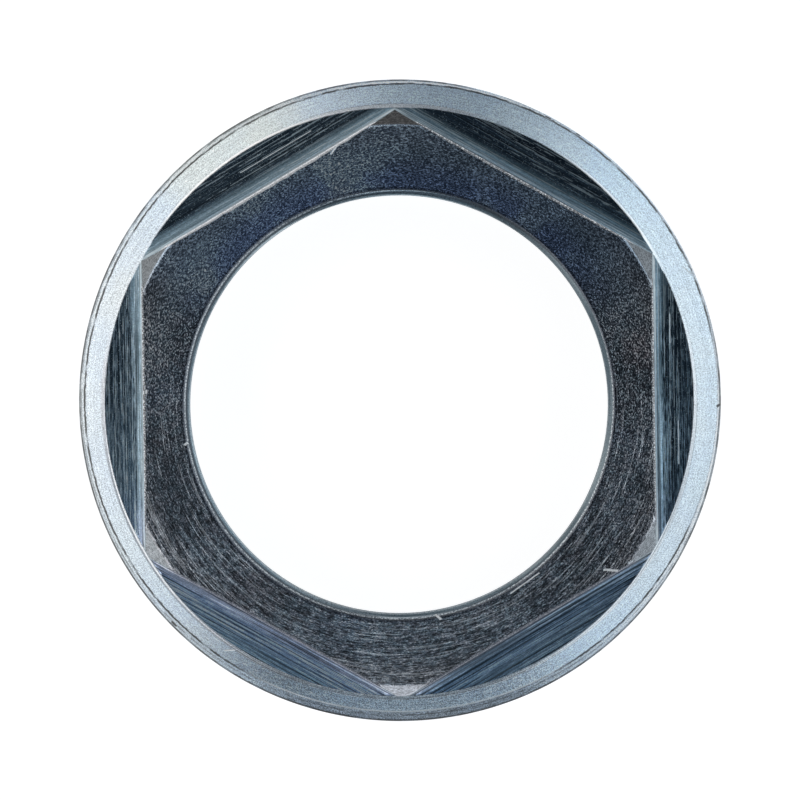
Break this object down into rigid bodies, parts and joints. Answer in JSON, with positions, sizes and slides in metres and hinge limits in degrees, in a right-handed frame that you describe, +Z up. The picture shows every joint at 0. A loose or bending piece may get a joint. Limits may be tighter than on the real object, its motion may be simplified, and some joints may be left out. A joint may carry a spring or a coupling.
{
  "type": "hex flange lock nut",
  "caption": "Thin hexagonal lock nut on a round conical flange, with a large fine-threaded through hole, zinc plated, for locking a threaded sleeve or shaft.",
  "frame": {"origin": "centre of the thread on the flat bearing face of the flange", "axes": "+Z up the thread's axis from the bearing face to the hex end, +X through the middle of a flat, +Y through a corner of the hexagon"},
  "size_m": [0.063, 0.063, 0.012],
  "materials": {
    "zinc_steel": "blue-white zinc plating over turned and milled steel"
  },
  "bodies": {
    "root": {"lock_nut": "zinc_steel"}
  },
  "joints": []
}
